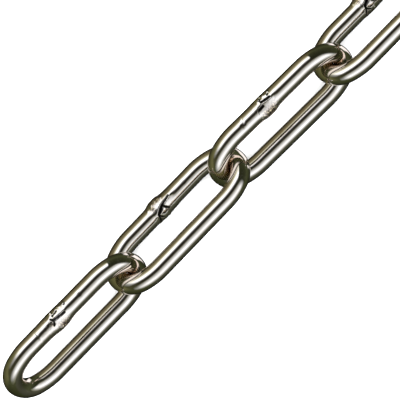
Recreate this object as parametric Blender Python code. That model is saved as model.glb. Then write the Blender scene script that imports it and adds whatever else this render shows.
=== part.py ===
"""A straight foot of welded long-link steel chain, lying on a level floor.

Every link is one piece of round wire, bent to a long loop and butt-welded in the
middle of one leg, where the upset metal stands a little proud of the wire. The links
cross at about a right angle, each one leaning on its lower leg, so that the run
stands on the two rows of lower legs.

The frame: +X along the chain, +Z up, the floor at z = 0, and the origin on the floor
under the middle of the run. Metres.
"""

from math import asin, atan2, copysign, cos, pi, radians, sin, sqrt

import bmesh
import bpy
from mathutils import Matrix, Vector

# The wire, and the loop that it is bent to
WIRE_DIAMETER = 0.0058
INSIDE_LENGTH = 0.0420
INSIDE_WIDTH = 0.0098

# Each end bow is a round nose that passes into a wider shoulder at either side
NOSE_RADIUS = 0.0070
SHOULDER_RADIUS = 0.0160

# The weld's upset, in the middle of the +Y leg: how far it stands proud of the wire,
# and its profile, as places along the leg and shares of that rise
WELD_RISE = 0.0004
WELD_PROFILE = (
    (0.0043, 0.0),
    (0.0029, 0.7),
    (0.0012, 1.0),
    (-0.0012, 1.0),
    (-0.0029, 0.7),
    (-0.0043, 0.0),
)

# How the run lies: each link's lean from the floor in degrees, and how far the run
# strays sideways at its two ends and at each crossing between them
LINK_LEANS = (50.0, 41.0, 46.4, 42.7, 47.0, 42.5, 46.2)
SIDE_DRIFTS = (-0.0003, -0.0001, 0.0004, -0.0003, -0.0002, 0.0002, -0.0001, 0.0001)
RUNNING_GAP = 0.0003

# How finely the round shapes are cut into facets
WIRE_SIDES = 16
NOSE_STEPS = 10
SHOULDER_STEPS = 3

FACET = 2 * pi / WIRE_SIDES
# The corners stand out just enough to give the faceted wire its true section area
CORNER_RADIUS = WIRE_DIAMETER / 2 * sqrt(FACET / sin(FACET))
FLAT_SHARE = cos(FACET / 2)

HALF_SPAN = (INSIDE_WIDTH + WIRE_DIAMETER) / 2
HALF_REACH = (INSIDE_LENGTH + WIRE_DIAMETER) / 2
NOSE_HALF = asin((SHOULDER_RADIUS - HALF_SPAN) / (SHOULDER_RADIUS - NOSE_RADIUS))
BOW_LENGTH = NOSE_RADIUS * (1 - cos(NOSE_HALF)) + SHOULDER_RADIUS * cos(NOSE_HALF)
LEG_HALF = HALF_REACH - BOW_LENGTH
LINK_STEP = INSIDE_LENGTH - RUNNING_GAP


def clear_scene():
    """Removes whatever the file opened with."""
    for obj in list(bpy.data.objects):
        bpy.data.objects.remove(obj, do_unlink=True)


def plated_steel():
    """Bright plated steel, a little warm."""
    material = bpy.data.materials.new("plated_steel")
    material.use_nodes = True
    shader = material.node_tree.nodes["Principled BSDF"]
    shader.inputs["Base Color"].default_value = (0.66, 0.62, 0.54, 1.0)
    shader.inputs["Metallic"].default_value = 1.0
    shader.inputs["Roughness"].default_value = 0.16
    return material


def even_steps(start, end, count):
    """The values that part start from end in that many even steps, start left out."""
    return [start + (end - start) * step / count for step in range(1, count + 1)]


def bow_facings():
    """Where the bow's rings face: angles off +X, from the one leg round to the other."""
    quarter = pi / 2
    return (
        [-quarter]
        + even_steps(-quarter, -NOSE_HALF, SHOULDER_STEPS)
        + even_steps(-NOSE_HALF, NOSE_HALF, NOSE_STEPS)
        + even_steps(NOSE_HALF, quarter, SHOULDER_STEPS)
    )


def bow_point(facing):
    """The +X bow's centreline where it faces that many radians off +X."""
    turned = abs(facing)
    if turned <= NOSE_HALF:
        along = HALF_REACH - NOSE_RADIUS * (1 - cos(turned))
        aside = NOSE_RADIUS * sin(turned)
    else:
        along = LEG_HALF + SHOULDER_RADIUS * cos(turned)
        aside = HALF_SPAN - SHOULDER_RADIUS * (1 - sin(turned))
    return Vector((along, copysign(aside, facing), 0))


def link_stations():
    """Where the wire's rings stand round the loop, as (centre, outward, rise).

    The loop runs up the +X bow, along the welded +Y leg, down the -X bow and back
    along the plain leg.
    """
    outward_y = Vector((0, 1, 0))
    bow = [(bow_point(a), Vector((cos(a), sin(a), 0)), 0.0) for a in bow_facings()]
    weld = [(Vector((x, HALF_SPAN, 0)), outward_y, WELD_RISE * share) for x, share in WELD_PROFILE]
    return bow + weld + [(-centre, -outward, rise) for centre, outward, rise in bow]


def link_mesh(name, lean):
    """One link as a closed tube, turned so that a facet of its low leg meets the floor."""
    shape = bmesh.new()
    rings = []
    for centre, outward, rise in link_stations():
        ring = []
        for side in range(WIRE_SIDES):
            angle = lean - pi / 2 + (side + 0.5) * FACET
            spoke = outward * cos(angle) + Vector((0, 0, sin(angle)))
            ring.append(shape.verts.new(centre + spoke * (CORNER_RADIUS + rise)))
        rings.append(ring)
    for ring, following in zip(rings, rings[1:] + rings[:1]):
        for side in range(WIRE_SIDES):
            beside = (side + 1) % WIRE_SIDES
            shape.faces.new((ring[side], ring[beside], following[beside], following[side]))
    bmesh.ops.recalc_face_normals(shape, faces=shape.faces)
    mesh = bpy.data.meshes.new(name)
    shape.to_mesh(mesh)
    shape.free()
    mesh.shade_smooth()
    return mesh


def resting_height(lean, weld_is_low):
    """How high a leaning link's middle is when its lower leg touches the floor."""
    lowest_radius = CORNER_RADIUS + (WELD_RISE if weld_is_low else 0)
    return lowest_radius * FLAT_SHARE + HALF_SPAN * sin(lean)


def link_pose(number):
    """Where the link of that number lies, counted from 1 at the -X end.

    Odd links carry their weld on the upper leg and even links on the lower one.
    """
    lean = radians(LINK_LEANS[number - 1])
    weld_is_low = number % 2 == 0
    near, far = SIDE_DRIFTS[number - 1 : number + 1]
    middle = Vector(
        (
            (number - (len(LINK_LEANS) + 1) / 2) * LINK_STEP,
            (near + far) / 2,
            resting_height(lean, weld_is_low),
        )
    )
    return (
        Matrix.Translation(middle)
        @ Matrix.Rotation(atan2(far - near, LINK_STEP), 4, "Z")
        @ Matrix.Rotation(-lean if weld_is_low else lean, 4, "X")
    )


def add_link(number, material):
    """Adds the link of that number to the scene."""
    name = f"link_{number}"
    mesh = link_mesh(name, radians(LINK_LEANS[number - 1]))
    mesh.materials.append(material)
    link = bpy.data.objects.new(name, mesh)
    link.matrix_world = link_pose(number)
    bpy.context.scene.collection.objects.link(link)
    return link


def centre_on_origin(links):
    """Slides the run along the floor until the origin is under the middle of its box."""
    bpy.context.view_layer.update()
    for axis in (0, 1):
        places = [
            (link.matrix_world @ vertex.co)[axis]
            for link in links
            for vertex in link.data.vertices
        ]
        middle = (min(places) + max(places)) / 2
        for link in links:
            link.location[axis] -= middle


def main():
    """Builds the run."""
    clear_scene()
    material = plated_steel()
    numbers = range(1, len(LINK_LEANS) + 1)
    centre_on_origin([add_link(number, material) for number in numbers])


main()
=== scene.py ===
"""Looks of a straight foot of bright plated long-link chain, lying on plain white paper.

Every link is drawn steel wire bent to a long loop, butt-welded in the middle of one
leg and plated bright. The loop, the upset and wrinkled weld, the nicks and the faint
waviness of the wire are modelled in the mesh; the draw lines, the fine grain, the
scorched colour of the welds and the shade painted dark into the welds' folds are in
the material.

A link's own frame: +X along the loop, +Y towards the welded leg, +Z off the loop's
plane. A place on the wire is given by how far it is along the leg from the link's
middle, and by its bearing round the wire: 0 degrees faces out of the loop and 90
degrees faces +Z. Metres, unless a name says otherwise.
"""

import logging
from dataclasses import dataclass, field, replace
from enum import Enum
from math import asin, cos, pi, radians, sin, tan
from random import Random

import bpy
import numpy as np
from mathutils import Matrix, Vector, noise


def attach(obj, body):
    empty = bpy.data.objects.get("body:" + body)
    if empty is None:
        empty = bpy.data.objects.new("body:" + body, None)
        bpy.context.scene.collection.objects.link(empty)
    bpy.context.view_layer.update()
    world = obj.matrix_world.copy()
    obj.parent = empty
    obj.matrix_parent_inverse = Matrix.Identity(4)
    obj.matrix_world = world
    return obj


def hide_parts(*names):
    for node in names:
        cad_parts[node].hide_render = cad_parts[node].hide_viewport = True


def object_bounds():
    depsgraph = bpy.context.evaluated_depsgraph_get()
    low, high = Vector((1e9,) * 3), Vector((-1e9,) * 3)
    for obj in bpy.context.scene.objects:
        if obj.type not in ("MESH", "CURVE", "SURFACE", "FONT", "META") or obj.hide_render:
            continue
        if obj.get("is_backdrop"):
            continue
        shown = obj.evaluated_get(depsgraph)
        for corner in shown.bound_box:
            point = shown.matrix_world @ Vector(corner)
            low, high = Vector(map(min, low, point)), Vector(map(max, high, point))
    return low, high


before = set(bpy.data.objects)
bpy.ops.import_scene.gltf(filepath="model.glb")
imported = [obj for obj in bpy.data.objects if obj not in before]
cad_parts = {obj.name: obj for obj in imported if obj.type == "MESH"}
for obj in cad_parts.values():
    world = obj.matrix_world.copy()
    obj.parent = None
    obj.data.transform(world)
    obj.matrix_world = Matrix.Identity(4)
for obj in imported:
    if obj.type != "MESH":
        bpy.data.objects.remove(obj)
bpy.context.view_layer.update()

log = logging.getLogger("chain")

MM = 0.001

Socket = bpy.types.NodeSocket
Colour = tuple[float, float, float]
# The least and the most
Range = tuple[float, float]
# A place in a ramp and the colour there
Stop = tuple[float, Colour]
# Places, each with the share of the full light there
Shares = tuple[tuple[float, float], ...]

WHITE: Colour = (1.0, 1.0, 1.0)
UNIT: Range = (0.0, 1.0)
# Keeps a division by a distance from being one by nothing
TINY = 1e-9


class Side(Enum):
    """Which side of the run something stands on, as the sign of its Y."""

    WELDED = 1
    PLAIN = -1


class Flank(Enum):
    """Whether a link's weld is carried high or low as the link leans."""

    HIGH = 1
    LOW = -1


@dataclass(frozen=True)
class Fade:
    """Light in one tint that grows and fades from place to place."""

    shares: Shares
    tint: Colour = WHITE

    def stops(self) -> tuple[Stop, ...]:
        """Works out the light's colours.

        Returns:
            Each place and the colour there.
        """
        return tuple(
            (place, tuple(share * part for part in self.tint)) for place, share in self.shares
        )


@dataclass(frozen=True)
class Speckle:
    """A noise pattern, by the size of its features across the wire and along it."""

    across: float
    along: float
    # How many finer layers it has, and how strong each finer layer is
    layers: float = 2.0
    roughness: float = 0.5

    @property
    def scale(self) -> Vector:
        """How many features there are in a metre along each axis."""
        return Vector((1 / self.across, 1 / self.across, 1 / self.along))


@dataclass
class NodeSheet:
    """A shader node tree, with short ways to add nodes to it and wire them up."""

    tree: bpy.types.NodeTree

    def add(self, kind: str, **values: object) -> bpy.types.Node:
        """Adds a node.

        Args:
            kind: The node's Blender type, without its ShaderNode prefix.
            **values: Properties of the node, or names of its inputs with spaces as
                underscores, and what to set them to.

        Returns:
            The new node.
        """
        node = self.tree.nodes.new("ShaderNode" + kind)
        for name, value in values.items():
            if hasattr(node, name):
                setattr(node, name, value)
            else:
                node.inputs[name.replace("_", " ")].default_value = value
        return node

    def wire(self, source: Socket, target: Socket) -> None:
        """Links one socket to another."""
        self.tree.links.new(source, target)

    def ramp(self, source: Socket, stops: tuple[Stop, ...]) -> Socket:
        """Turns a value into a colour.

        Args:
            source: The socket that gives the value, from 0 to 1.
            stops: Each value that has a colour of its own, and that colour.

        Returns:
            The socket that gives the colour.
        """
        ramp = self.add("ValToRGB")
        elements = ramp.color_ramp.elements
        while len(elements) < len(stops):
            elements.new(1.0)
        for element, (place, colour) in zip(elements, stops):
            element.position = place
            element.color = (*colour, 1.0)
        self.wire(source, ramp.inputs["Fac"])
        return ramp.outputs["Color"]

    def noise(self, place: Socket, speckle: Speckle) -> Socket:
        """Adds a noise texture.

        Args:
            place: The socket that gives the place in metres.
            speckle: The noise's pattern.

        Returns:
            The socket that gives the noise, about 0 to 1.
        """
        spread = self.add("Mapping", Scale=speckle.scale)
        self.wire(place, spread.inputs["Vector"])
        texture = self.add("TexNoise", Scale=1.0, Detail=speckle.layers, Roughness=speckle.roughness)
        self.wire(spread.outputs["Vector"], texture.inputs["Vector"])
        return texture.outputs["Fac"]

    def span(self, source: Socket, given: Range, wanted: Range) -> Socket:
        """Maps one range of values to another and holds it there.

        Args:
            source: The socket that gives the value.
            given: The range that it comes in.
            wanted: The range that it leaves in.

        Returns:
            The socket that gives the new value.
        """
        change = self.add("MapRange", From_Min=given[0], From_Max=given[1])
        change.inputs["To Min"].default_value = wanted[0]
        change.inputs["To Max"].default_value = wanted[1]
        self.wire(source, change.inputs["Value"])
        return change.outputs["Result"]

    def blend(self, share: Socket, first: Socket, second: Socket) -> Socket:
        """Mixes two colours by a share of the second one.

        Args:
            share: The socket that gives the share.
            first: The colour at a share of 0.
            second: The colour at a share of 1.

        Returns:
            The socket that gives the mixed colour.
        """
        mix = self.add("MixRGB")
        self.wire(share, mix.inputs["Fac"])
        self.wire(first, mix.inputs["Color1"])
        self.wire(second, mix.inputs["Color2"])
        return mix.outputs["Color"]

    def product(self, first: Socket, second: Socket) -> Socket:
        """Multiplies two colours.

        Args:
            first: The one colour.
            second: The other.

        Returns:
            The socket that gives their product.
        """
        mix = self.add("MixRGB", blend_type="MULTIPLY", Fac=1.0)
        self.wire(first, mix.inputs["Color1"])
        self.wire(second, mix.inputs["Color2"])
        return mix.outputs["Color"]

    def math(self, operation: str, *sources: Socket) -> Socket:
        """Works a value out of others.

        Args:
            operation: Blender's name for the sum.
            *sources: The sockets that give the values.

        Returns:
            The socket that gives the result.
        """
        node = self.add("Math", operation=operation)
        for source, target in zip(sources, node.inputs):
            self.wire(source, target)
        return node.outputs["Value"]


def put_in_scene(name: str, data: bpy.types.ID) -> bpy.types.Object:
    """Makes an object and puts it into the scene.

    Args:
        name: The object's name.
        data: The mesh, light or camera that it shows.

    Returns:
        The object, at the frame's origin.
    """
    made = bpy.data.objects.new(name, data)
    bpy.context.scene.collection.objects.link(made)
    return made


@dataclass(frozen=True)
class PlatedSteel:
    """Bright plating over drawn steel wire, scorched and dull at the welds, with shade painted dark
    into the welds' folds.
    """

    slot: str = "plated_steel"
    # The plating's two tones, and where in the noise of the tone each one stands
    warm: Colour = (0.78, 0.69, 0.61)
    clear: Colour = (0.86, 0.78, 0.71)
    warm_to_clear: Range = (0.30, 0.62)
    # The scale's three colours, and where in the noise of the grain each one stands
    scorched: Colour = (0.05, 0.032, 0.020)
    rosy: Colour = (0.26, 0.19, 0.15)
    golden: Colour = (0.70, 0.58, 0.36)
    scorched_to_golden: tuple[float, float, float] = (0.38, 0.50, 0.64)
    # The colour of the shade painted into the welds' folds, and the share of that painted shade at
    # which it hides the metal
    crease_shade_colour: Colour = (0.012, 0.011, 0.009)
    full_crease_shade: float = 0.45
    # The plating's roughness, and the tones between which it changes
    polish: Range = (0.03, 0.06)
    polish_tones: Range = (0.3, 0.7)
    scorched_roughness: float = 0.22
    tone: Speckle = Speckle(5 * MM, 5 * MM, 3.0, 0.55)
    draw_lines: Speckle = Speckle(0.35 * MM, 14 * MM)
    grain: Speckle = Speckle(0.40 * MM, 0.40 * MM, 2.0, 0.6)
    # How strongly the grain stands out on clean plating and on scale
    grain_relief: Range = (0.5, 4.0)
    relief_depth: float = 0.006 * MM

    def material(self) -> bpy.types.Material:
        """Makes the material.

        Returns:
            A material that reads the wire_place, the scorch and the painted shade of the folds from
            a link's mesh.
        """
        material = bpy.data.materials.new("plated_steel_finish")
        material.use_nodes = True
        sheet = NodeSheet(material.node_tree)
        shader = material.node_tree.nodes["Principled BSDF"]
        shader.inputs["Metallic"].default_value = 1.0
        place = sheet.add("Attribute", attribute_name="wire_place").outputs["Vector"]
        scorch = sheet.add("Attribute", attribute_name="scorch").outputs["Fac"]
        crease_shade = sheet.add("Attribute", attribute_name="crease_shade").outputs["Fac"]

        tone = sheet.noise(place, self.tone)
        lines = sheet.noise(place, self.draw_lines)
        grain = sheet.noise(place, self.grain)

        tones = tuple(zip(self.warm_to_clear, (self.warm, self.clear)))
        scales = tuple(zip(self.scorched_to_golden, (self.scorched, self.rosy, self.golden)))
        plating = sheet.ramp(tone, tones)
        crust = sheet.ramp(grain, scales)
        # Painted shade: the colour goes near black along the welds' folds, where shade falls
        crease_darkening = sheet.ramp(crease_shade, ((0.0, WHITE), (self.full_crease_shade, self.crease_shade_colour)))
        colour = sheet.product(sheet.blend(scorch, plating, crust), crease_darkening)
        sheet.wire(colour, shader.inputs["Base Color"])

        gloss = sheet.span(tone, self.polish_tones, self.polish)
        dull = sheet.span(scorch, UNIT, (0.0, self.scorched_roughness))
        sheet.wire(sheet.math("ADD", gloss, dull), shader.inputs["Roughness"])

        strength = sheet.span(scorch, UNIT, self.grain_relief)
        relief = sheet.math("MULTIPLY_ADD", grain, strength, lines)
        bump = sheet.add("Bump", Strength=1.0, Distance=self.relief_depth)
        sheet.wire(relief, bump.inputs["Height"])
        sheet.wire(bump.outputs["Normal"], shader.inputs["Normal"])
        return material


@dataclass(frozen=True)
class StudioPaper:
    """Plain white paper under the chain."""

    # The paper's two tones, and where in its clouds each one stands
    dark: Colour = (0.90, 0.90, 0.90)
    light: Colour = (0.93, 0.93, 0.93)
    dark_to_light: Range = (0.3, 0.7)
    clouds: Speckle = Speckle(30 * MM, 30 * MM)
    roughness: float = 0.9

    def material(self) -> bpy.types.Material:
        """Makes the paper's material.

        Returns:
            A dull white material without a sheen.
        """
        material = bpy.data.materials.new("studio_paper")
        material.use_nodes = True
        sheet = NodeSheet(material.node_tree)
        shader = material.node_tree.nodes["Principled BSDF"]
        shader.inputs["Roughness"].default_value = self.roughness
        shader.inputs["Specular IOR Level"].default_value = 0.0
        place = sheet.add("NewGeometry").outputs["Position"]
        tones = tuple(zip(self.dark_to_light, (self.dark, self.light)))
        shade = sheet.ramp(sheet.noise(place, self.clouds), tones)
        sheet.wire(shade, shader.inputs["Base Color"])
        return material


@dataclass
class WireLoop:
    """The long loop that every link's wire is bent to."""

    wire_diameter: float = 5.8 * MM
    inside_length: float = 42.0 * MM
    inside_width: float = 9.8 * MM
    nose_radius: float = 7.0 * MM
    shoulder_radius: float = 16.0 * MM
    # How far each change of bend spreads along the wire, as it does round a former
    bend_spread: float = 0.9 * MM
    # How much shorter each nose reaches, so that neighbours lie almost on each other
    nose_settle: float = 0.14 * MM
    # How many steps the way round the loop is worked out in
    samples: int = 6000

    @property
    def wire_radius(self) -> float:
        """Half the wire's diameter."""
        return self.wire_diameter / 2

    @property
    def half_span(self) -> float:
        """How far each leg's middle is from the link's middle."""
        return (self.inside_width + self.wire_diameter) / 2

    @property
    def half_reach(self) -> float:
        """How far each nose's middle is from the link's middle."""
        return (self.inside_length + self.wire_diameter) / 2 - self.nose_settle

    def bends(self) -> list[tuple[float, float]]:
        """The loop's stretches of even bend, from the weld round to the weld.

        Returns:
            Each stretch's length and its curvature.
        """
        nose, shoulder = self.nose_radius, self.shoulder_radius
        nose_half = asin((shoulder - self.half_span) / (shoulder - nose))
        bow_length = nose * (1 - cos(nose_half)) + shoulder * cos(nose_half)
        leg_half = self.half_reach - bow_length
        side = (shoulder * (pi / 2 - nose_half), 1 / shoulder)
        tip = (2 * nose * nose_half, 1 / nose)
        bow = [side, tip, side]
        return [(leg_half, 0.0), *bow, (2 * leg_half, 0.0), *bow, (leg_half, 0.0)]

    def trace(self) -> "WireTrace":
        """Follows the wire once round the loop.

        The way starts at the weld and runs towards -X, so the wire's own two ends are
        where the weld is.

        Returns:
            The middle of the wire and its outward direction, at even steps.
        """
        bends = self.bends()
        length = sum(stretch for stretch, _ in bends)
        ends = np.cumsum([stretch for stretch, _ in bends])
        step = length / self.samples
        middles = (np.arange(self.samples) + 0.5) * step
        curvature = np.array([bend for _, bend in bends])[np.searchsorted(ends, middles)]
        spread = int(self.bend_spread / step)
        window = np.hanning(2 * spread + 1)
        wrapped = np.concatenate([curvature[-spread:], curvature, curvature[:spread]])
        eased = np.convolve(wrapped, window / window.sum(), mode="valid")
        heading = pi + np.cumsum(eased) * step
        heading -= eased * step / 2
        along = np.concatenate([[0.0], np.cumsum(np.cos(heading) * step)])
        aside = np.concatenate([[0.0], np.cumsum(np.sin(heading) * step)])
        along -= (along.max() + along.min()) / 2
        aside -= (aside.max() + aside.min()) / 2
        along *= self.half_reach / along.max()
        aside *= self.half_span / aside.max()
        facing = np.concatenate([[heading[0]], (heading[1:] + heading[:-1]) / 2, [heading[-1]]])
        return WireTrace(length, np.linspace(0.0, length, self.samples + 1), along, aside, facing)


@dataclass
class WireTrace:
    """The middle line of a link's wire, followed once round."""

    length: float
    travelled: np.ndarray
    along: np.ndarray
    aside: np.ndarray
    facing: np.ndarray

    def at(self, travel: np.ndarray) -> tuple[np.ndarray, np.ndarray]:
        """Where the wire is after so much travel.

        Args:
            travel: Distances along the wire from the weld.

        Returns:
            The wire's middle and its outward direction, one row for each distance.
        """
        along = np.interp(travel, self.travelled, self.along)
        aside = np.interp(travel, self.travelled, self.aside)
        outward = np.interp(travel, self.travelled, self.facing) - pi / 2
        flat = np.zeros_like(along)
        middles = np.stack([along, aside, flat], axis=1)
        return middles, np.stack([np.cos(outward), np.sin(outward), flat], axis=1)


@dataclass
class WirePlaces:
    """Places on the wire, as a grid of rings by sides."""

    # How far each place is along the leg, and its bearing in radians
    along: np.ndarray
    bearing: np.ndarray
    radius: float

    def round_from(self, bearing_deg: float) -> np.ndarray:
        """How far round the wire each place is from a bearing.

        Args:
            bearing_deg: The bearing to measure from.

        Returns:
            Signed distances over the wire, the shorter way round.
        """
        return ((self.bearing - radians(bearing_deg) + pi) % (2 * pi) - pi) * self.radius


@dataclass
class Bead:
    """A rounded lump of weld metal on the wire, or a pit where its rise is below 0."""

    along_mm: float
    bearing_deg: float
    rise_mm: float
    long_mm: float
    wide_mm: float
    scorch: float = 0.0
    # How square the lump's sides are: 2 is a plain round mound
    squareness: float = 2.0

    def share(self, wire: WirePlaces) -> np.ndarray:
        """How much of the lump stands at each place.

        Args:
            wire: Places on the wire.

        Returns:
            Shares of the lump's rise, from 0 to 1.
        """
        off = np.abs(wire.along - self.along_mm * MM) / (self.long_mm * MM)
        off_round = np.abs(wire.round_from(self.bearing_deg)) / (self.wide_mm * MM)
        return np.exp(-(off**self.squareness) - off_round**self.squareness)


@dataclass(frozen=True)
class CrumbPatch:
    """A patch of the wire with little crumbs of flash strewn over it."""

    seed: int
    along_mm: Range
    bearing_deg: Range
    count: int
    rise_mm: Range = (0.06, 0.15)
    long_mm: Range = (0.25, 0.45)
    wide_mm: Range = (0.22, 0.40)
    scorch: Range = (0.0, 0.4)

    def beads(self) -> tuple[Bead, ...]:
        """Strews the crumbs.

        Returns:
            The crumbs, the same ones each time.
        """
        chance = Random(self.seed)
        sizes = (self.rise_mm, self.long_mm, self.wide_mm, self.scorch)
        spreads = (self.along_mm, self.bearing_deg, *sizes)
        return tuple(
            Bead(*(chance.uniform(*spread) for spread in spreads)) for _ in range(self.count)
        )


@dataclass
class Crease:
    """A sharp fold in the weld metal, along a line from place to place on the wire.

    The metal may stand up along it as a lip, which slopes away gently towards the
    smaller bearings and drops steeply on the other side. Shade is painted dark into the
    fold's colour.
    """

    # Each place: how far along the leg, the bearing in degrees, and the fold's width
    places: tuple[tuple[float, float, float], ...]
    depth_mm: float = 0.26
    # How strong the shade painted into the fold's colour is, from 0 for none to 1 for full
    crease_shade: float = 1.0
    lip_mm: float = 0.0
    gentle_mm: float = 2.0
    steep_mm: float = 0.75
    # How square the fold's walls are: 2 is a plain round groove
    squareness: int = 4

    def shares(self, wire: WirePlaces) -> tuple[np.ndarray, np.ndarray]:
        """How deep the fold is and how high its lip stands at each place.

        Args:
            wire: Places on the wire.

        Returns:
            Shares of the fold's depth and of the lip's height, from 0 to 1.
        """
        deepest = np.zeros_like(wire.along)
        nearest = np.full_like(wire.along, np.inf)
        side = np.zeros_like(wire.along)
        for (start_mm, start_deg, first), (end_mm, end_deg, last) in zip(
            self.places, self.places[1:]
        ):
            turn = radians(end_deg - start_deg) * wire.radius
            run = np.array([(end_mm - start_mm) * MM, turn])
            aside = wire.round_from(start_deg)
            ahead = wire.along - start_mm * MM
            share = np.clip((ahead * run[0] + aside * run[1]) / (run @ run), 0.0, 1.0)
            off = aside - share * run[1]
            gap = np.hypot(ahead - share * run[0], off)
            width = (first + (last - first) * share) * MM
            deepest = np.maximum(deepest, np.exp(-((gap / width) ** self.squareness)))
            side = np.where(gap < nearest, off / (gap + TINY), side)
            nearest = np.minimum(nearest, gap)
        reach = (self.steep_mm + (self.gentle_mm - self.steep_mm) * (1 - side) / 2) * MM
        return deepest, np.exp(-((nearest / reach) ** 2))


@dataclass
class Weld:
    """One link's butt weld: a swollen collar with its lumps, folds and crust."""

    centre_mm: float
    # The collar's reach towards -X and +X, and how far it stands proud
    back_mm: float
    fore_mm: float
    rise_mm: float
    beads: tuple[Bead, ...] = ()
    creases: tuple[Crease, ...] = ()
    wrinkle_mm: float = 0.05
    wrinkle_size_mm: float = 0.9
    # How far the crumbs of scale stand out where the weld is scorched
    crumb_mm: float = 0.20
    crumb_size_mm: float = 0.45
    # How far from the wrinkles' place in the noise the crumbs' is
    crumb_noise_step: float = 3.0
    # Over what length the collar ends towards -X, and how many times that towards +X
    slope_mm: float = 0.55
    fore_slope: float = 1.7
    # The noise's layers, and its middle, which is taken off it
    lump_layers: int = 3
    lump_middle: float = 0.45
    # The share of its full relief below which the weld has no noise
    faintest: float = 0.02

    def collar(self, along: np.ndarray) -> np.ndarray:
        """Works out how high the collar stands.

        Args:
            along: Places along the leg.

        Returns:
            The collar's share of its rise at each place.
        """
        slope = self.slope_mm * MM
        centre = self.centre_mm * MM
        opening = 1 / (1 + np.exp(-(along - centre + self.back_mm * MM) / slope))
        ending = self.fore_slope * slope
        closing = 1 / (1 + np.exp((along - centre - self.fore_mm * MM) / ending))
        return opening * closing

    def relief(self, wire: WirePlaces, seed: float) -> tuple[np.ndarray, np.ndarray, np.ndarray]:
        """The weld's relief on the wire.

        Args:
            wire: Places on the wire.
            seed: Where in the noise this weld's wrinkles are read.

        Returns:
            How far the surface stands proud, how scorched it is and how much shade is painted into
            its folds.
        """
        collar = self.collar(wire.along)
        rise = collar * self.rise_mm * MM
        scorch = np.zeros_like(rise)
        crease_shade = np.zeros_like(rise)
        for bead in self.beads:
            share = bead.share(wire)
            rise += share * bead.rise_mm * MM
            scorch = np.maximum(scorch, share * bead.scorch)
        for crease in self.creases:
            fold, lip = crease.shares(wire)
            rise += (lip * crease.lip_mm - fold * crease.depth_mm) * MM
            # Each fold also gets shade painted into the colour, darkest in its groove
            crease_shade = np.maximum(crease_shade, fold * crease.crease_shade)
        wrinkles = self.turbulence(wire, self.wrinkle_size_mm, seed, collar)
        further = seed + self.crumb_noise_step
        crumbs = self.turbulence(wire, self.crumb_size_mm, further, scorch)
        rise += (collar * wrinkles * self.wrinkle_mm + scorch * crumbs * self.crumb_mm) * MM
        return rise, scorch, crease_shade

    def turbulence(
        self, wire: WirePlaces, size_mm: float, seed: float, where: np.ndarray
    ) -> np.ndarray:
        """Lumpy noise on the wire.

        Args:
            wire: Places on the wire.
            size_mm: The size of the lumps.
            seed: Where in the noise they are read.
            where: A grid of shares of the full relief.

        Returns:
            The noise, about -0.5 to 0.5, and 0 where the relief is fainter than the faintest.
        """
        finer = 1 / (size_mm * MM)
        radius = wire.radius
        lumps = np.zeros_like(where)
        for row, column in zip(*np.nonzero(where > self.faintest)):
            along, angle = wire.along[row, column], wire.bearing[row, column]
            spot = Vector((along, radius * cos(angle), radius * sin(angle))) * finer
            spot.x += seed
            lumps[row, column] = noise.turbulence(spot, self.lump_layers, True) - self.lump_middle
        return lumps


# Weld of link_1, on its high leg: crumbs of flash on the outer side, a lipped crevice
# along the top, and a smooth swelling with a patch of scale on the inner side
FIRST_WELD = Weld(
    centre_mm=-2.4,
    back_mm=4.2,
    fore_mm=3.4,
    rise_mm=0.10,
    beads=(
        Bead(-1.9, 128, 0.38, 3.0, 2.4, squareness=3.0),
        Bead(-1.2, 93, 0.05, 1.9, 1.25, scorch=1.0, squareness=3.0),
        Bead(-6.3, 104, 0.05, 0.6, 0.5, scorch=0.8),
        Bead(-3.9, 44, 0.10, 0.5, 0.6, scorch=1.0),
        *CrumbPatch(11, (-3.4, 2.6), (-18.0, 6.0), 34).beads(),
        *CrumbPatch(12, (-2.8, 0.4), (82.0, 112.0), 8).beads(),
    ),
    creases=(
        Crease(
            ((1.0, 42, 0.28), (-0.3, 40, 0.26), (-2.8, 33, 0.25), (-3.4, 20, 0.18)),
            lip_mm=0.22,
        ),
        Crease(((-3.1, 41, 0.20), (-3.4, 50, 0.28), (-3.9, 57, 0.12))),
        Crease(((-0.4, 7, 0.12), (-2.4, 13, 0.15)), depth_mm=0.14),
    ),
)

# Weld of link_2, on its low leg: a deep collar, a lipped crevice across its top and a
# block between two folds on the inner side
SECOND_WELD = Weld(
    centre_mm=-0.4,
    back_mm=3.6,
    fore_mm=3.2,
    rise_mm=0.20,
    beads=(
        Bead(-1.4, 50, 0.42, 2.3, 2.4, squareness=3.5),
        Bead(0.2, 83, 0.05, 1.5, 0.95, scorch=1.0, squareness=3.0),
        Bead(-1.7, 84, 0.05, 1.2, 0.95, scorch=0.85, squareness=3.0),
        Bead(-2.7, 104, 0.08, 0.8, 0.9, scorch=1.0),
        Bead(-0.9, 180, 0.34, 1.3, 1.8),
        Bead(-3.3, 190, 0.12, 0.6, 0.8, scorch=0.95),
        Bead(0.8, 163, 0.05, 0.8, 0.5, scorch=0.9),
        *CrumbPatch(21, (-3.0, 1.0), (68.0, 94.0), 10).beads(),
        *CrumbPatch(22, (-4.4, 0.0), (188.0, 208.0), 9).beads(),
        Bead(-4.3, 92, 0.14, 0.35, 0.4),
        Bead(-2.0, 203, 0.09, 0.3, 0.35),
        Bead(-4.3, 202, 0.09, 0.3, 0.35),
        Bead(0.0, 203, 0.09, 0.3, 0.35),
    ),
    creases=(
        Crease(
            (
                (3.2, 114, 0.16),
                (1.3, 120, 0.26),
                (0.1, 124, 0.30),
                (-1.1, 135, 0.48),
                (-2.0, 143, 0.38),
                (-2.8, 150, 0.24),
            ),
            depth_mm=0.34,
            lip_mm=0.30,
            gentle_mm=1.7,
            steep_mm=0.85,
        ),
        Crease(((0.0, 129, 0.28), (0.4, 147, 0.26), (1.1, 166, 0.14))),
        Crease(((-2.7, 150, 0.22), (-3.0, 169, 0.20), (-3.6, 196, 0.13))),
        Crease(((-2.7, 153, 0.22), (-2.5, 165, 0.18), (-2.0, 182, 0.14))),
    ),
)

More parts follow.
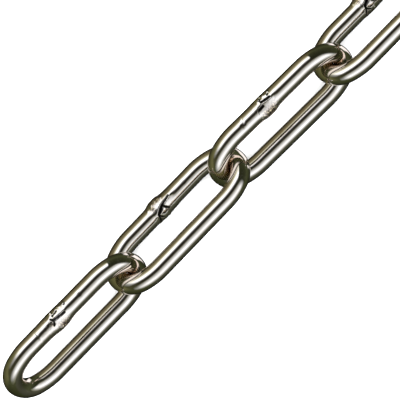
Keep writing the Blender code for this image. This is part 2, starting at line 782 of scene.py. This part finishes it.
# Weld of link_3, on its high leg: like the first one, with a shorter crevice
THIRD_WELD = Weld(
    centre_mm=-1.1,
    back_mm=3.6,
    fore_mm=3.4,
    rise_mm=0.10,
    beads=(
        Bead(-1.5, 128, 0.42, 2.7, 2.3, squareness=3.0),
        Bead(-1.15, 94, 0.05, 2.9, 1.3, scorch=1.0, squareness=3.0),
        *CrumbPatch(31, (-2.8, 2.2), (-18.0, 8.0), 32).beads(),
        *CrumbPatch(32, (-3.8, 1.4), (84.0, 112.0), 14).beads(),
        Bead(-4.4, 102, 0.10, 0.4, 0.4),
    ),
    creases=(
        Crease(((1.2, 31, 0.24), (0.0, 28, 0.28), (-1.8, 21, 0.22)), lip_mm=0.28, steep_mm=0.9),
        Crease(((1.5, 8, 0.12), (0.9, 16, 0.12)), depth_mm=0.14),
        Crease(((-2.0, 40, 0.32), (-3.6, 42, 0.32)), depth_mm=0.12),
        # This faint fold gets only 0.6 of the full painted shade
        Crease(((-4.0, 43, 0.10), (-4.5, 60, 0.07)), depth_mm=0.08, crease_shade=0.6),
    ),
)
SHOWN_WELDS: tuple[Weld, ...] = (FIRST_WELD, SECOND_WELD, THIRD_WELD)

# Marks of the bending tool and knocks in the wire, by the link's number
SHOWN_NICKS: dict[int, tuple[Bead, ...]] = {
    1: (
        Bead(-9.5, 30, -0.14, 0.30, 1.6),
        Bead(-8.9, 46, 0.07, 0.40, 0.7),
        Bead(7.5, 33, -0.06, 0.5, 0.7),
    ),
    2: (Bead(9.0, 120, -0.04, 0.6, 0.8),),
    3: (
        Bead(-8.9, 12, -0.10, 0.25, 0.6),
        Bead(-9.3, 30, -0.14, 0.40, 0.9),
        Bead(-10.2, 44, -0.10, 0.45, 0.8),
    ),
}


def either_way(chance: Random, most: float) -> float:
    """A chance distance of up to so much, to one side or the other."""
    return chance.uniform(-most, most)


@dataclass(frozen=True)
class WeldSpread:
    """How much the welds that one machine makes differ."""

    shift_mm: float = 0.8
    turn_deg: float = 9.0
    bead_shift_mm: float = 0.35
    bead_turn_deg: float = 6.0
    bead_rise: Range = (0.8, 1.1)
    bead_size: Range = (0.85, 1.15)
    crease_shift_mm: float = 0.25

    def another(self, model: Weld, chance: Random) -> Weld:
        """Makes a weld that is like another, but not the same.

        Args:
            model: The weld that it resembles.
            chance: Where its differences come from.

        Returns:
            The new weld.
        """
        shift = either_way(chance, self.shift_mm)
        turn = either_way(chance, self.turn_deg)
        beads = tuple(
            replace(
                bead,
                along_mm=bead.along_mm + shift + either_way(chance, self.bead_shift_mm),
                bearing_deg=bead.bearing_deg + turn + either_way(chance, self.bead_turn_deg),
                rise_mm=bead.rise_mm * chance.uniform(*self.bead_rise),
                long_mm=bead.long_mm * chance.uniform(*self.bead_size),
                wide_mm=bead.wide_mm * chance.uniform(*self.bead_size),
            )
            for bead in model.beads
        )
        creases = tuple(
            replace(
                crease,
                places=tuple(
                    (along + shift + either_way(chance, self.crease_shift_mm), bearing + turn, width)
                    for along, bearing, width in crease.places
                ),
            )
            for crease in model.creases
        )
        return replace(model, centre_mm=model.centre_mm + shift, beads=beads, creases=creases)


@dataclass
class LinkSeat:
    """Where a link lies, read from its solid in the frame."""

    pose: Matrix
    flank: Flank

    @classmethod
    def of_node(cls, node: bpy.types.Object, half_span: float) -> "LinkSeat":
        """Finds a link's own frame from its solid.

        The loop is longest along its X and thinnest along its Z, and its noses are
        alike on both sides of its middle. Only the welded leg has points near the
        middle of the loop's length.

        Args:
            node: The link's solid.
            half_span: How far each leg's middle is from the link's middle.

        Returns:
            The link's seat.
        """
        points = np.empty(len(node.data.vertices) * 3)
        node.data.vertices.foreach_get("co", points)
        points = points.reshape(-1, 3)
        middle = points.mean(axis=0)
        _, _, axes = np.linalg.svd(points - middle, full_matrices=False)
        along, aside = axes[0], axes[1]
        along = along * np.sign(along[0])
        reach = (points - middle) @ along
        centre = (reach.max() + reach.min()) / 2
        half_length = (reach.max() - reach.min()) / 2
        noses = points[np.abs(reach - centre) > half_length - half_span]
        middle = middle + along * centre
        middle = middle + aside * ((noses.mean(axis=0) - middle) @ aside)
        near_weld = points[np.abs((points - middle) @ along) < half_span]
        aside = aside * np.sign((near_weld.mean(axis=0) - middle) @ aside)
        normal = np.cross(along, aside)
        pose = Matrix.Identity(4)
        for column, axis in enumerate((along, aside, normal, middle)):
            for row in range(3):
                pose[row][column] = axis[row]
        return cls(pose, Flank.HIGH if aside[2] > 0 else Flank.LOW)


@dataclass
class ChainLink:
    """One link of the chain, from its bent wire to its plating."""

    number: int
    loop: WireLoop
    trace: WireTrace
    weld: Weld
    nicks: tuple[Bead, ...] = ()
    sides: int = 96
    # How far apart the rings of points stand on plain wire and at the weld, and how far
    # along the wire the weld's spacing goes on to each side
    plain_step: float = 0.34 * MM
    weld_step: float = 0.11 * MM
    weld_stretch: float = 11.5 * MM
    # How far the drawn wire strays from round, over what distance across the wire, and
    # how many times that along it
    stray: float = 0.014 * MM
    stray_length: float = 7.0 * MM
    stray_stretch: float = 2.0
    # Far enough apart for no two links to share their noise
    noise_stride: float = 0.31
    weld_noise_stride: float = 7.0

    @property
    def node(self) -> str:
        """The name of the link's solid and of its body."""
        return f"link_{self.number}"

    @property
    def name(self) -> str:
        """The name of the link's own piece."""
        return f"chain_link_{self.number}"

    def travels(self) -> np.ndarray:
        """Where along the wire its rings stand, closer together at the weld.

        Returns:
            Distances along the wire from the weld.
        """
        length, near = self.trace.length, self.weld_stretch
        return np.concatenate(
            [
                np.arange(0.0, near, self.weld_step),
                np.arange(near, length - near, self.plain_step),
                np.arange(length - near, length - self.weld_step / 2, self.weld_step),
            ]
        )

    def waviness(self, travel: np.ndarray, bearing: np.ndarray) -> np.ndarray:
        """How the drawn wire strays from perfectly round and straight.

        Args:
            travel: Distances along the wire, as a grid.
            bearing: Bearings in radians, as a grid of the same shape.

        Returns:
            How far the surface stands proud of the true radius.
        """
        radius = self.loop.wire_radius
        offset = self.number * self.noise_stride
        rows = []
        for row_travel, row_bearing in zip(travel, bearing):
            row = []
            for distance, angle in zip(row_travel, row_bearing):
                along = distance / self.stray_stretch + offset
                spot = Vector((radius * cos(angle), radius * sin(angle), along))
                row.append(noise.noise(spot / self.stray_length))
            rows.append(row)
        return np.array(rows) * self.stray

    def surface(self) -> tuple[np.ndarray, np.ndarray, dict[str, np.ndarray]]:
        """Works out the link's surface in its own frame.

        Returns:
            The points as rings by sides, their places on the straightened wire, and
            how scorched they are and how much shade is painted into the welds' folds, each by its
            name.
        """
        radius = self.loop.wire_radius
        travels = self.travels()
        bearings = np.arange(self.sides) * 2 * pi / self.sides
        travel, bearing = np.meshgrid(travels, bearings, indexing="ij")
        half = self.trace.length / 2
        along = np.where(travel < half, -travel, self.trace.length - travel)
        wire = WirePlaces(along, bearing, radius)
        seed = self.number * self.weld_noise_stride
        rise, scorch, crease_shade = self.weld.relief(wire, seed)
        for nick in self.nicks:
            rise += nick.share(wire) * nick.rise_mm * MM
        rise += self.waviness(travel, bearing)
        middles, outward = self.trace.at(travels)
        spokes = outward[:, None, :] * np.cos(bearing)[:, :, None]
        spokes[:, :, 2] += np.sin(bearing)
        points = middles[:, None, :] + spokes * (radius + rise)[:, :, None]
        places = np.stack(
            [
                radius * np.cos(bearing),
                radius * np.sin(bearing),
                travel + self.number * self.noise_stride,
            ],
            axis=2,
        )
        return points, places, {"scorch": scorch, "crease_shade": crease_shade}

    def mesh(self) -> bpy.types.Mesh:
        """Builds the link's mesh, with the attributes that its finish reads.

        Returns:
            A closed smooth tube.
        """
        points, places, scorch_and_painted_shade = self.surface()
        rings = len(points)
        corner = np.arange(rings * self.sides).reshape(rings, self.sides)
        ahead = np.roll(corner, -1, axis=0)
        quads = np.stack(
            [corner, ahead, np.roll(ahead, -1, axis=1), np.roll(corner, -1, axis=1)], axis=2
        )
        mesh = bpy.data.meshes.new(self.name)
        mesh.from_pydata(points.reshape(-1, 3).tolist(), [], quads.reshape(-1, 4).tolist())
        mesh.attributes.new("wire_place", "FLOAT_VECTOR", "POINT").data.foreach_set(
            "vector", places.ravel()
        )
        # The scorch and the shade painted into the welds' folds go to the mesh as attributes
        for name, amount in scorch_and_painted_shade.items():
            layer = mesh.attributes.new(name, "FLOAT", "POINT")
            layer.data.foreach_set("value", amount.ravel())
        mesh.shade_smooth()
        return mesh

    def add(self, finish: bpy.types.Material) -> None:
        """Adds the link to the scene, on its body and in the place of its solid.

        Args:
            finish: The material that it is dressed in.
        """
        seat = LinkSeat.of_node(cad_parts[self.node], self.loop.half_span)
        mesh = self.mesh()
        mesh.transform(seat.pose)
        mesh.materials.append(finish)
        link = put_in_scene(self.name, mesh)
        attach(link, self.node)
        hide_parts(self.node)
        leg = seat.flank.name.lower()
        log.info("%s: weld on its %s leg, %d faces", link.name, leg, len(mesh.polygons))


@dataclass
class ChainRun:
    """The whole run of links."""

    loop: WireLoop = field(default_factory=WireLoop)
    finish: PlatedSteel = field(default_factory=PlatedSteel)
    # The first two solids stand closer than the others, so link_1 settles less
    first_settle: float = 0.06 * MM
    # How the welds of the later links differ, and where the bending tool marked these
    spread: WeldSpread = WeldSpread()
    mark_along_mm: Range = (9.0, 9.8)
    mark_bearing_deg: Range = (15.0, 40.0)

    def tool_mark(self, chance: Random) -> Bead:
        """The bending tool's mark on a later link.

        Args:
            chance: Where its place comes from.

        Returns:
            The mark, a short groove over the outer side of the welded leg.
        """
        return Bead(
            along_mm=-chance.uniform(*self.mark_along_mm),
            bearing_deg=chance.uniform(*self.mark_bearing_deg),
            rise_mm=-0.10,
            long_mm=0.25,
            wide_mm=1.3,
        )

    def link(self, number: int) -> ChainLink:
        """Describes one link.

        Args:
            number: The link's number, counted from 1 at the -X end.

        Returns:
            The link, not yet built.
        """
        chance = Random(number)
        loop = replace(self.loop, nose_settle=self.first_settle) if number == 1 else self.loop
        if number <= len(SHOWN_WELDS):
            nicks = SHOWN_NICKS.get(number, ())
            weld = SHOWN_WELDS[number - 1]
        else:
            model = SECOND_WELD if number % 2 == 0 else chance.choice((FIRST_WELD, THIRD_WELD))
            nicks = (self.tool_mark(chance),)
            weld = self.spread.another(model, chance)
        return ChainLink(number, loop, loop.trace(), weld, nicks)

    def build(self) -> None:
        """Builds every link of the run and dresses it."""
        material = self.finish.material()
        for number in range(1, len(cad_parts) + 1):
            self.link(number).add(material)


@dataclass
class SoftBox:
    """A long soft box beside the run, graded across its face and along it.

    Its face is square to the line from the run, and its long side is level with the
    run. The angles are from straight overhead, towards its own side.
    """

    side: Side
    inner_deg: float
    outer_deg: float
    brightness: float
    # How the light fades across the face, from the inner edge at 0 to the outer at 1
    across: Shares
    # Its tint at places across the face
    tints: tuple[Stop, ...]
    # How it fades along the face, from the -X end at 0 to the +X end at 1
    along: Shares
    # Where along the run its two ends are, and how far from the run its middle line is
    near_end: float
    far_end: float
    distance: float = 0.60

    def add(self) -> None:
        """Adds the soft box to the scene."""
        middle = radians((self.inner_deg + self.outer_deg) / 2)
        half = radians((self.outer_deg - self.inner_deg) / 2)
        lamp = bpy.data.lights.new(f"soft_box_{self.side.name.lower()}", "AREA")
        lamp.shape = "RECTANGLE"
        lamp.size = self.far_end - self.near_end
        lamp.size_y = 2 * self.distance * tan(half)
        lamp.energy = self.brightness * lamp.size * lamp.size_y * pi
        sign = self.side.value
        self.grade(lamp, sign)
        box = put_in_scene(lamp.name, lamp)
        away = Vector((0, sign * sin(middle), cos(middle)))
        level = Vector((sign, 0, 0))
        turn = Matrix((level, away.cross(level), away)).transposed()
        place = away * self.distance
        place.x = (self.near_end + self.far_end) / 2
        box.matrix_world = Matrix.Translation(place) @ turn.to_4x4()
        box.visible_camera = False
        log.info("%s: %.0f to %.0f degrees off overhead", box.name, self.inner_deg, self.outer_deg)

    def grade(self, lamp: bpy.types.AreaLight, sign: int) -> None:
        """Grades the light's face.

        Args:
            lamp: The light.
            sign: 1 where the light's own X runs along the run, -1 where it runs back.
        """
        lamp.use_nodes = True
        sheet = NodeSheet(lamp.node_tree)
        face = sheet.add("SeparateXYZ")
        sheet.wire(sheet.add("NewGeometry").outputs["Parametric"], face.inputs["Vector"])
        along = self.along
        if sign < 0:
            along = tuple((1 - place, share) for place, share in reversed(along))
        shade = sheet.product(
            sheet.ramp(face.outputs["Y"], Fade(self.across).stops()),
            sheet.ramp(face.outputs["X"], Fade(along).stops()),
        )
        tinted = sheet.product(shade, sheet.ramp(face.outputs["Y"], self.tints))
        sheet.wire(tinted, lamp.node_tree.nodes["Emission"].inputs["Color"])


@dataclass
class Surroundings:
    """The room round the table: white to the eye, but dim and olive in the plating.

    Each direction has a fade of its own, by the height of a ray from -1 straight down
    to 1 straight up.
    """

    welded_side: Fade = Fade(
        (
            *((-1.0, 0.004), (-0.7, 0.05), (-0.4, 0.08), (0.0, 0.24)),
            *((0.2, 0.14), (0.4, 0.03), (1.0, 0.014)),
        ),
        (1.0, 0.9, 0.5),
    )
    plain_side: Fade = Fade(
        ((-1.0, 0.004), (-0.8, 0.02), (-0.3, 0.06), (0.0, 0.09), (0.3, 0.06), (1.0, 0.014)),
        (1.0, 1.1, 0.75),
    )
    far_end: Fade = Fade(
        ((-1.0, 0.004), (-0.8, 0.02), (0.0, 0.075), (0.3, 0.045), (1.0, 0.012)), (1.0, 1.2, 0.55)
    )
    near_welded_corner: Fade = Fade(
        ((-1.0, 0.004), (-0.8, 0.03), (0.15, 0.18), (0.4, 0.08), (1.0, 0.012)), (1.0, 1.05, 0.45)
    )
    near_plain_corner: Fade = Fade(
        ((-1.0, 0.004), (-0.8, 0.02), (0.2, 0.075), (0.7, 0.04), (1.0, 0.012)), (1.0, 1.2, 0.5)
    )
    # A white card low down beyond the +X end: its colour, and the heights and the
    # sideways leans of the rays between which it fades in and out
    card: Colour = (1.45, 1.45, 1.50)
    card_height: tuple[float, float, float, float] = (-0.80, -0.70, -0.34, -0.27)
    card_lean: tuple[float, float, float, float] = (-0.38, -0.30, 0.40, 0.50)
    # How far towards +X a ray leans before it can meet the card
    card_ahead: Range = (0.0, 0.1)
    # How far a ray leans along the run before it meets an end of the room, and the leans
    # over which the room changes from side to side and from corner to corner
    end_lean: Range = (0.25, 0.45)
    side_lean: Range = (-0.15, 0.15)
    corner_lean: Range = (-0.30, 0.12)
    # The room's strength in the plating and the white's strength for all else
    dimness: float = 0.86
    daylight: float = 3.5

    def add(self) -> None:
        """Sets the world up."""
        world = bpy.data.worlds.new("surroundings")
        bpy.context.scene.world = world
        world.use_nodes = True
        sheet = NodeSheet(world.node_tree)
        world.node_tree.nodes.clear()
        heading = sheet.add("SeparateXYZ")
        sheet.wire(sheet.add("TexCoord").outputs["Generated"], heading.inputs["Vector"])
        height = sheet.span(heading.outputs["Z"], (-1.0, 1.0), UNIT)
        welded, plain, far, near_welded, near_plain = (
            sheet.ramp(height, tuple(((place + 1) / 2, colour) for place, colour in fade.stops()))
            for fade in (
                self.welded_side,
                self.plain_side,
                self.far_end,
                self.near_welded_corner,
                self.near_plain_corner,
            )
        )
        corner = sheet.span(heading.outputs["Y"], self.corner_lean, UNIT)
        near = sheet.blend(corner, near_plain, near_welded)
        sides = sheet.blend(sheet.span(heading.outputs["Y"], self.side_lean, UNIT), plain, welded)
        ends = sheet.blend(sheet.span(heading.outputs["X"], self.side_lean, UNIT), near, far)
        lean = sheet.math("ABSOLUTE", heading.outputs["X"])
        share = sheet.span(lean, self.end_lean, UNIT)
        card = sheet.add("MixRGB", Color2=(*self.card, 1.0))
        sheet.wire(self.window(sheet, heading), card.inputs["Fac"])
        sheet.wire(sheet.blend(share, sides, ends), card.inputs["Color1"])
        room = sheet.add("Background", Strength=self.dimness)
        sheet.wire(card.outputs["Color"], room.inputs["Color"])
        white = sheet.add("Background", Strength=self.daylight)
        choice = sheet.add("MixShader")
        sheet.wire(sheet.add("LightPath").outputs["Is Glossy Ray"], choice.inputs["Fac"])
        sheet.wire(white.outputs["Background"], choice.inputs[1])
        sheet.wire(room.outputs["Background"], choice.inputs[2])
        output = sheet.add("OutputWorld")
        sheet.wire(choice.outputs["Shader"], output.inputs["Surface"])
        log.info("surroundings: dim in reflections, white to the eye")

    def window(self, sheet: NodeSheet, heading: bpy.types.Node) -> Socket:
        """Finds where the white card is seen.

        Args:
            sheet: The world's nodes.
            heading: The node that gives a ray's direction as X, Y and Z.

        Returns:
            The socket that gives the card's share of the view.
        """
        shares = []
        for axis, (start, full, still, end) in (("Z", self.card_height), ("Y", self.card_lean)):
            shares.append(sheet.span(heading.outputs[axis], (start, full), UNIT))
            shares.append(sheet.span(heading.outputs[axis], (still, end), (1.0, 0.0)))
        shown = sheet.span(heading.outputs["X"], self.card_ahead, UNIT)
        for share in shares:
            shown = sheet.math("MULTIPLY", shown, share)
        return shown


@dataclass
class PaperFloor:
    """The sheet of white paper that the chain lies on."""

    width: float = 8.0
    finish: StudioPaper = field(default_factory=StudioPaper)

    def add(self, level: float) -> None:
        """Lays the paper at a height.

        Args:
            level: The height of the chain's lowest point.
        """
        half = self.width / 2
        mesh = bpy.data.meshes.new("paper_floor")
        corners = [(-half, -half, level), (half, -half, level), (half, half, level)]
        mesh.from_pydata([*corners, (-half, half, level)], [], [(0, 1, 2, 3)])
        mesh.materials.append(self.finish.material())
        floor = put_in_scene("paper_floor", mesh)
        # The plating shows the dim room below the horizon, not the bright paper
        floor.visible_glossy = False
        floor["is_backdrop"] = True
        log.info("paper_floor: %.2f mm under the frame's floor", -level / MM)


@dataclass
class OverheadCamera:
    """The camera, looking straight down on links 1 to 4."""

    along: float = -74.9 * MM
    aside: float = -0.6 * MM
    height: float = 1.0
    lens_mm: float = 314.2
    sensor_mm: float = 36.0
    farthest: float = 20.0
    # How steeply the run climbs across the picture
    run_slope_deg: float = 45.385

    def add(self) -> None:
        """Adds the camera and looks through it."""
        camera = bpy.data.cameras.new("overhead_camera")
        camera.sensor_width = self.sensor_mm
        camera.lens = self.lens_mm
        camera.clip_end = self.farthest
        holder = put_in_scene("overhead_camera", camera)
        holder.location = (self.along, self.aside, self.height)
        holder.rotation_euler = (0, 0, -radians(self.run_slope_deg))
        bpy.context.scene.camera = holder
        log.info("overhead_camera: %.2f m above the floor", self.height)


@dataclass
class Studio:
    """The light and the ground round the chain."""

    cool_white: Colour = (1.0, 1.08, 1.18)
    olive_edge: Colour = (1.0, 1.0, 0.6)
    grey_edge: Colour = (1.0, 1.05, 0.85)
    # Enough for light to find its way out between two links that all but touch
    bounces: int = 24

    def soft_boxes(self) -> tuple[SoftBox, ...]:
        """Describes the two soft boxes.

        Returns:
            A crisp one on the welded side and a faded one opposite, not yet built.
        """
        crisp = SoftBox(
            side=Side.WELDED,
            inner_deg=16.0,
            outer_deg=79.0,
            brightness=1.55,
            across=(
                *((0.0, 0.01), (0.15, 0.08), (0.3, 0.85), (0.4, 1.0)),
                *((0.55, 0.96), (0.7, 0.57), (0.85, 0.21), (1.0, 0.12)),
            ),
            tints=((0.5, self.cool_white), (0.95, self.olive_edge)),
            along=((0.0, 0.0), (0.25, 0.1), (0.4, 0.25), (0.55, 1.0), (0.98, 1.0), (1.0, 0.0)),
            near_end=-1.025,
            far_end=0.25,
        )
        faded = SoftBox(
            side=Side.PLAIN,
            inner_deg=-3.0,
            outer_deg=82.0,
            brightness=1.38,
            across=(
                *((0.0, 0.01), (0.1, 0.04), (0.2, 0.2), (0.35, 0.52), (0.55, 0.98)),
                *((0.65, 0.9), (0.75, 0.5), (0.85, 0.21), (1.0, 0.06)),
            ),
            tints=(
                (0.1, self.grey_edge),
                (0.35, self.cool_white),
                (0.75, self.cool_white),
                (1.0, self.grey_edge),
            ),
            along=(
                *((0.0, 0.05), (0.1, 0.14), (0.25, 0.3), (0.45, 1.0)),
                *((0.86, 1.0), (0.95, 0.2), (1.0, 0.0)),
            ),
            near_end=-1.225,
            far_end=0.525,
        )
        return crisp, faded

    def build(self, level: float) -> None:
        """Sets the studio up.

        Args:
            level: The height of the chain's lowest point.
        """
        PaperFloor().add(level)
        Surroundings().add()
        for box in self.soft_boxes():
            box.add()
        OverheadCamera().add()
        bpy.context.scene.cycles.max_bounces = self.bounces
        bpy.context.scene.cycles.glossy_bounces = self.bounces
        view = bpy.context.scene.view_settings
        view.view_transform = "Standard"
        view.look = "None"


def main() -> None:
    """Builds the chain and its studio, with the paper laid at the chain's lowest point."""
    logging.basicConfig(level=logging.INFO, format="%(name)s: %(message)s")
    ChainRun().build()
    low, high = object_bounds()
    Studio().build(low[2])


if __name__ == "__main__":
    main()
